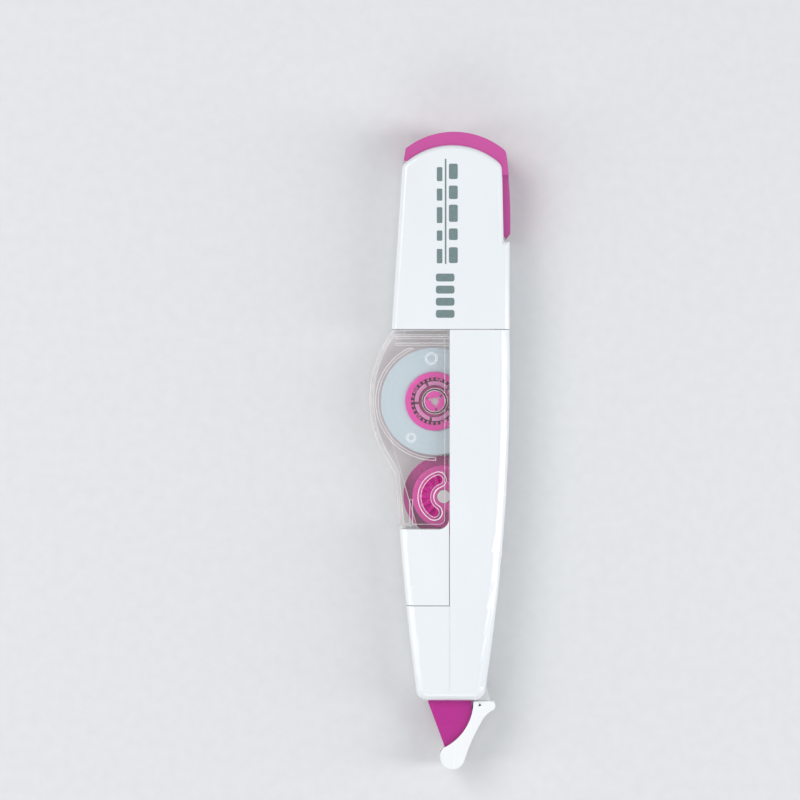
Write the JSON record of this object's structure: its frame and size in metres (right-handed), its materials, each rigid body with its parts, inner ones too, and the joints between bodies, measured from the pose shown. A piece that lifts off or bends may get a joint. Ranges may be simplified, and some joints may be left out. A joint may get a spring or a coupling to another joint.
{
  "type": "correction tape roller",
  "caption": "Pen-shaped refillable correction tape roller with a white grip, clear reel chamber, pull-off rear cover, hinged tip cap and geared reels.",
  "frame": {"origin": "a point on the flat back face, beside the reels", "axes": "+Z out of the front face, +Y along the body to the rear cover, the tip points along -Y"},
  "size_m": [0.0304, 0.1373, 0.0136],
  "materials": {
    "front_case": "gloss",
    "back_case": "gloss",
    "cap_pivot_pin": "satin",
    "rear_cover": "gloss",
    "end_cap": "gloss",
    "cartridge_front": "clear gloss",
    "cartridge_back": "clear gloss",
    "neck_panel_front": "gloss",
    "neck_panel_back": "gloss",
    "head_front": "satin",
    "head_back": "satin",
    "roller_axle": "satin",
    "tip_roller": "satin",
    "supply_core": "gloss",
    "supply_flange_front": "clear gloss",
    "supply_flange_back": "clear gloss",
    "tape_roll": "matte",
    "supply_gear": "gloss",
    "clutch_spring": "gloss",
    "takeup_reel": "gloss",
    "takeup_gear": "gloss",
    "takeup_winding": "satin",
    "idler_gear": "satin",
    "tape_run_out": "matte",
    "tape_run_back": "satin",
    "tip_cap": "gloss"
  },
  "bodies": {
    "body": {"front_case": "front_case", "back_case": "back_case", "cap_pivot_pin": "cap_pivot_pin"},
    "rear_cover": {"rear_cover": "rear_cover", "end_cap": "end_cap"},
    "refill": {"cartridge_front": "cartridge_front", "cartridge_back": "cartridge_back", "neck_panel_front": "neck_panel_front", "neck_panel_back": "neck_panel_back", "head_front": "head_front", "head_back": "head_back", "roller_axle": "roller_axle", "tape_run_out": "tape_run_out", "tape_run_back": "tape_run_back"},
    "supply_reel": {"supply_core": "supply_core", "supply_flange_front": "supply_flange_front", "supply_flange_back": "supply_flange_back", "tape_roll": "tape_roll", "supply_gear": "supply_gear", "clutch_spring": "clutch_spring"},
    "takeup_reel": {"takeup_reel": "takeup_reel", "takeup_gear": "takeup_gear", "takeup_winding": "takeup_winding"},
    "idler": {"idler_gear": "idler_gear"},
    "tip_roller": {"tip_roller": "tip_roller"},
    "tip_cap": {"tip_cap": "tip_cap"}
  },
  "joints": [
    {"name": "cover_slide", "type": "slide", "parent": "body", "child": "rear_cover", "axis": [0, 1, 0], "range_m": [0, 0.046]},
    {"name": "refill_slide", "type": "slide", "parent": "body", "child": "refill", "axis": [0, 1, 0], "range_m": [0, 0.0322]},
    {"name": "supply_spin", "type": "hinge", "parent": "refill", "child": "supply_reel", "pos_m": [-0.0036, 0.01085, 0.0068], "axis": [0, 0, 1], "continuous": true},
    {"name": "takeup_spin", "type": "hinge", "parent": "refill", "child": "takeup_reel", "pos_m": [-0.00165, -0.00975, 0.0068], "axis": [0, 0, 1], "continuous": true},
    {"name": "idler_spin", "type": "hinge", "parent": "refill", "child": "idler", "pos_m": [0.00189, -0.00246, 0.0068], "axis": [0, 0, 1], "continuous": true},
    {"name": "roller_spin", "type": "hinge", "parent": "refill", "child": "tip_roller", "pos_m": [-0.0001, -0.0644, 0.0068], "axis": [0, 0, 1], "continuous": true},
    {"name": "cap_hinge", "type": "hinge", "parent": "body", "child": "tip_cap", "pos_m": [0.00595, -0.0503, 0.0068], "axis": [0, 0, 1], "range_deg": [0, 100]}
  ],
  "couplings": [
    {"joint": "refill_slide", "follows": "cover_slide", "ratio": 0.7},
    {"joint": "takeup_spin", "follows": "supply_spin", "ratio": 2.4},
    {"joint": "idler_spin", "follows": "supply_spin", "ratio": -3},
    {"joint": "roller_spin", "follows": "supply_spin", "ratio": 8.6154}
  ]
}
